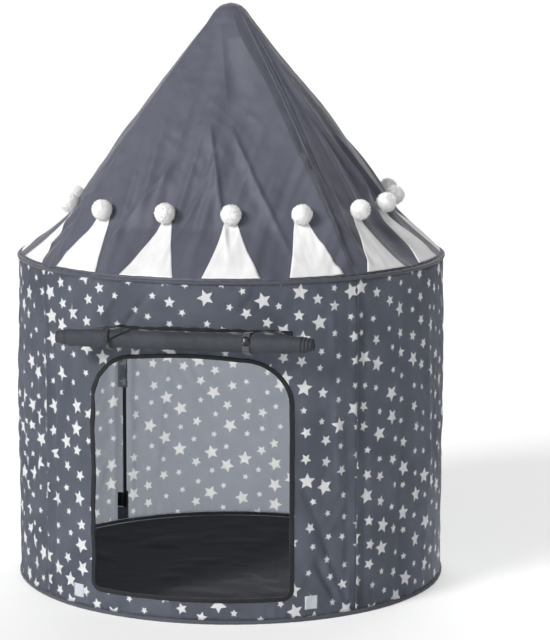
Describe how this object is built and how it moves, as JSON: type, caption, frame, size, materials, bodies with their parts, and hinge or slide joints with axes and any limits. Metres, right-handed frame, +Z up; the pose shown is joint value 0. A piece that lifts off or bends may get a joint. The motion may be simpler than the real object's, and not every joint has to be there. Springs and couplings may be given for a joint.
{
  "type": "play tent",
  "caption": "Round pop-up play tent with star-print wall, cone roof with a white pompom crown, and a doorway whose curtain rolls up and ties.",
  "frame": {"origin": "on the ground under the apex, at the middle of the floor sheet's lower face", "axes": "+Z up to the apex, -Y through the middle of the doorway, +X to the right of the doorway seen from outside"},
  "size_m": [1.01, 1.0568, 1.35],
  "materials": {
    "printed_cloth": "woven, matt, star print",
    "roof_cloth": "woven, matt",
    "edge_tape": "ribbed tape, matt",
    "floor_cloth": "woven, matt",
    "spring_steel": "bright spring steel",
    "white_cloth": "smooth cloth and soft pile",
    "pole_fibreglass": "satin",
    "moulded_plastic": "satin",
    "hook_and_loop": "napped tape",
    "curtain_lining": "woven, matt",
    "elastic_cord": "round braid",
    "toggle_plastic": "gloss"
  },
  "bodies": {
    "tent": {"apex_cap": "roof_cloth", "apex_hub": "moulded_plastic", "bottom_hem": "edge_tape", "bottom_hoop": "spring_steel", "crown_front_1": "white_cloth", "crown_front_2": "white_cloth", "crown_front_3": "white_cloth", "crown_front_4": "white_cloth", "crown_left_1": "white_cloth", "crown_left_2": "white_cloth", "crown_left_3": "white_cloth", "crown_left_4": "white_cloth", "crown_rear_1": "white_cloth", "crown_rear_2": "white_cloth", "crown_rear_3": "white_cloth", "crown_rear_4": "white_cloth", "crown_right_1": "white_cloth", "crown_right_2": "white_cloth", "crown_right_3": "white_cloth", "crown_right_4": "white_cloth", "door_binding": "edge_tape", "door_curtain_sheet": "printed_cloth", "floor_sheet": "floor_cloth", "pole_elbow_front_left": "moulded_plastic", "pole_elbow_front_right": "moulded_plastic", "pole_elbow_rear_left": "moulded_plastic", "pole_elbow_rear_right": "moulded_plastic", "pole_pocket_front_left": "roof_cloth", "pole_pocket_front_right": "roof_cloth", "pole_pocket_rear_left": "roof_cloth", "pole_pocket_rear_right": "roof_cloth", "roof_panel_front": "roof_cloth", "roof_panel_left": "roof_cloth", "roof_panel_rear": "roof_cloth", "roof_panel_right": "roof_cloth", "roof_pole_front_left": "pole_fibreglass", "roof_pole_front_right": "pole_fibreglass", "roof_pole_rear_left": "pole_fibreglass", "roof_pole_rear_right": "pole_fibreglass", "tie_loop_left": "curtain_lining", "tie_loop_right": "curtain_lining", "top_hem": "edge_tape", "top_hoop": "spring_steel", "wall_panel_front": "printed_cloth", "wall_panel_left": "printed_cloth", "wall_panel_rear": "printed_cloth", "wall_panel_right": "printed_cloth", "wall_pole_front_left": "pole_fibreglass", "wall_pole_front_right": "pole_fibreglass", "wall_pole_rear_left": "pole_fibreglass", "wall_pole_rear_right": "pole_fibreglass"},
    "curtain": {"door_curtain_roll": "curtain_lining"},
    "left_tie": {"tie_left": "elastic_cord", "toggle_left": "toggle_plastic"},
    "right_tie": {"tie_right": "curtain_lining", "toggle_right": "toggle_plastic"},
    "band_front_left": {"pocket_band_front_left": "hook_and_loop"},
    "band_front_right": {"pocket_band_front_right": "hook_and_loop"},
    "band_rear_right": {"pocket_band_rear_right": "hook_and_loop"},
    "band_rear_left": {"pocket_band_rear_left": "hook_and_loop"}
  },
  "joints": [
    {"name": "curtain_drop", "type": "slide", "parent": "tent", "child": "curtain", "axis": [0, 0, -1], "range_m": [0, 0.575], "deforming": ["door_curtain_sheet", "tie_loop_left", "tie_loop_right"]},
    {"name": "tie_left_swing", "type": "hinge", "parent": "tent", "child": "left_tie", "pos_m": [-0.16596, -0.47152, 0.673], "axis": [0.96, -0.2802, 0], "range_deg": [0, 31]},
    {"name": "tie_right_swing", "type": "hinge", "parent": "tent", "child": "right_tie", "pos_m": [0.14003, -0.48009, 0.673], "axis": [0.96, 0.28, 0], "range_deg": [0, 31]},
    {"name": "pocket_band_front_left_opening", "type": "hinge", "parent": "tent", "child": "band_front_left", "pos_m": [-0.36367, -0.34104, 0.046], "axis": [0, 0, 1], "range_deg": [0, 100]},
    {"name": "pocket_band_front_right_opening", "type": "hinge", "parent": "tent", "child": "band_front_right", "pos_m": [0.34104, -0.36367, 0.046], "axis": [0, 0, 1], "range_deg": [0, 100]},
    {"name": "pocket_band_rear_right_opening", "type": "hinge", "parent": "tent", "child": "band_rear_right", "pos_m": [0.36367, 0.34104, 0.046], "axis": [0, 0, 1], "range_deg": [0, 100]},
    {"name": "pocket_band_rear_left_opening", "type": "hinge", "parent": "tent", "child": "band_rear_left", "pos_m": [-0.34104, 0.36367, 0.046], "axis": [0, 0, 1], "range_deg": [0, 100]}
  ],
  "couplings": [
    {"joint": "tie_left_swing", "follows": "curtain_drop", "rad_per_m": 0.9106},
    {"joint": "tie_right_swing", "follows": "curtain_drop", "rad_per_m": 0.9106}
  ]
}
